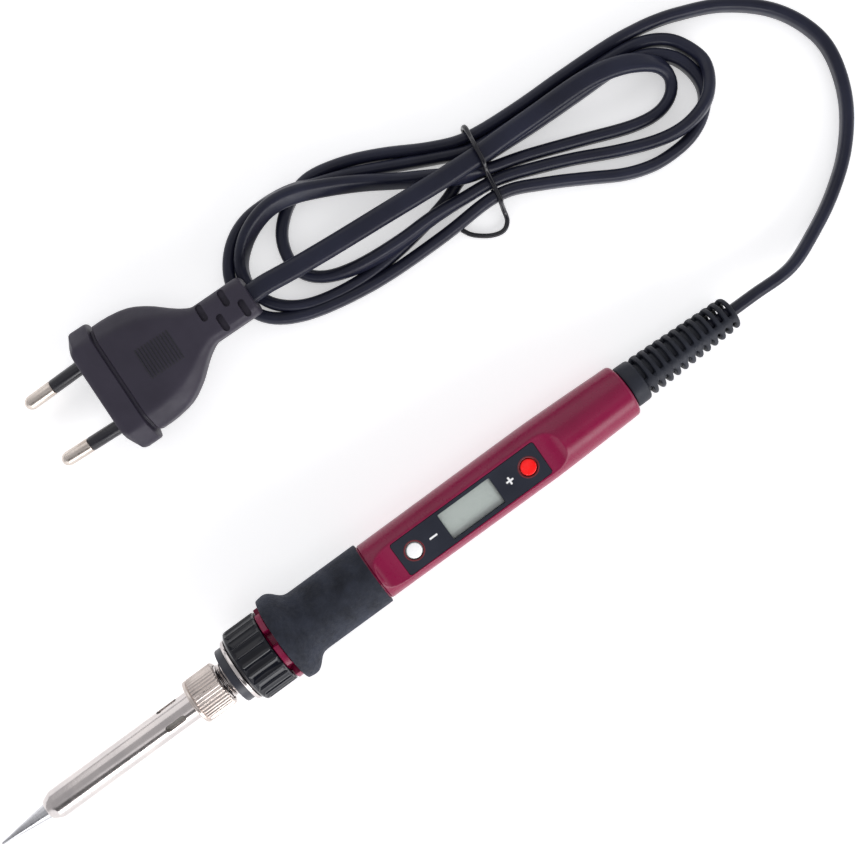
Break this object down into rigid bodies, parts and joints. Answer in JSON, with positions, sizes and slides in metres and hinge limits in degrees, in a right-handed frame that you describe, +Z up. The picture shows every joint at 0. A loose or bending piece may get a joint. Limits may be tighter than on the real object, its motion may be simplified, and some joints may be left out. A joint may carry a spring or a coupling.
{
  "type": "soldering iron",
  "caption": "Hand-held mains soldering iron with a display and two buttons in its handle, a foam grip, a ribbed cord boot, a tied hank of flat cord and a two-pin plug.",
  "frame": {"origin": "on the floor, under the middle of the iron as it lies on the flare of its grip and the tail of its handle", "axes": "+X along the iron from its tip to its cord, +Y towards the plug and the tied cord, +Z up"},
  "size_m": [0.3006, 0.1103, 0.0249],
  "materials": {
    "bright_steel": "satin",
    "nickel_plate": "satin",
    "tip_plating": "satin",
    "white_ceramic": "matte",
    "burgundy_plastic": "satin",
    "foam_rubber": "matte",
    "black_gloss": "gloss",
    "bush_plastic": "satin",
    "panel_plastic": "satin",
    "clear_plastic": "clear",
    "lcd_glass": "satin",
    "white_plastic": "satin",
    "red_plastic": "gloss",
    "board_laminate": "satin",
    "part_epoxy": "matte",
    "wire_jacket": "satin",
    "cord_vinyl": "satin",
    "plug_vinyl": "matte"
  },
  "bodies": {
    "handle": {"threaded_barrel": "bright_steel", "heater_core": "white_ceramic", "heater_bush": "bush_plastic", "handle_shell": "burgundy_plastic", "grip_sleeve": "foam_rubber", "display_panel": "panel_plastic", "lcd_cover": "clear_plastic", "lcd_module": "lcd_glass", "contact_strip_left": "part_epoxy", "contact_strip_right": "part_epoxy", "minus_switch": "part_epoxy", "plus_switch": "part_epoxy", "circuit_board": "board_laminate", "control_chip": "part_epoxy", "triac": "part_epoxy", "filter_capacitor": "bush_plastic", "dropper_resistor": "wire_jacket", "heater_wire_live": "wire_jacket", "heater_wire_return": "wire_jacket", "sensor_wire_a": "wire_jacket", "sensor_wire_b": "wire_jacket", "mains_wire_live": "wire_jacket", "mains_wire_neutral": "wire_jacket", "cord_end": "cord_vinyl", "cord_tie": "white_plastic", "cord_boot": "foam_rubber", "plug_body": "plug_vinyl", "plug_pin_left": "nickel_plate", "plug_pin_right": "nickel_plate", "pin_sleeve_left": "panel_plastic", "pin_sleeve_right": "panel_plastic", "plug_lead": "cord_vinyl", "cord_hank": "cord_vinyl", "cord_lead": "cord_vinyl", "twist_tie": "cord_vinyl"},
    "tip": {"soldering_tip": "tip_plating"},
    "sleeve": {"tip_sleeve": "bright_steel"},
    "nut": {"sleeve_nut": "nickel_plate"},
    "ring": {"clamp_ring": "bright_steel"},
    "collar": {"front_collar": "black_gloss"},
    "minus_button": {"minus_button": "white_plastic"},
    "plus_button": {"plus_button": "red_plastic"}
  },
  "joints": [
    {"name": "tip_pull_off", "type": "slide", "parent": "handle", "child": "tip", "axis": [-0.999, 0, 0.0448], "range_m": [0, 0.05]},
    {"name": "sleeve_advance", "type": "slide", "parent": "tip", "child": "sleeve", "axis": [-0.999, 0, 0.0448], "range_m": [0, 0.0057]},
    {"name": "nut_turn", "type": "hinge", "parent": "sleeve", "child": "nut", "pos_m": [-0.05204, 0, 0.01356], "axis": [-0.999, 0, 0.0448], "range_deg": [0, 2700]},
    {"name": "collar_advance", "type": "slide", "parent": "handle", "child": "ring", "axis": [-0.999, 0, 0.0448], "range_m": [0, 0.007]},
    {"name": "collar_turn", "type": "hinge", "parent": "ring", "child": "collar", "pos_m": [-0.0361, 0, 0.01284], "axis": [-0.999, 0, 0.0448], "range_deg": [0, 1670]},
    {"name": "minus_press", "type": "slide", "parent": "handle", "child": "minus_button", "axis": [-0.0438, 0.2079, -0.9772], "range_m": [0, 0.0004], "stiffness_N_per_m": 1500, "springref_m": -0.0002},
    {"name": "plus_press", "type": "slide", "parent": "handle", "child": "plus_button", "axis": [-0.0438, 0.2079, -0.9772], "range_m": [0, 0.0004], "stiffness_N_per_m": 1500, "springref_m": -0.0002}
  ],
  "couplings": [
    {"joint": "sleeve_advance", "follows": "nut_turn", "m_per_rad": 0.00011937},
    {"joint": "collar_advance", "follows": "collar_turn", "m_per_rad": 0.00023873}
  ]
}
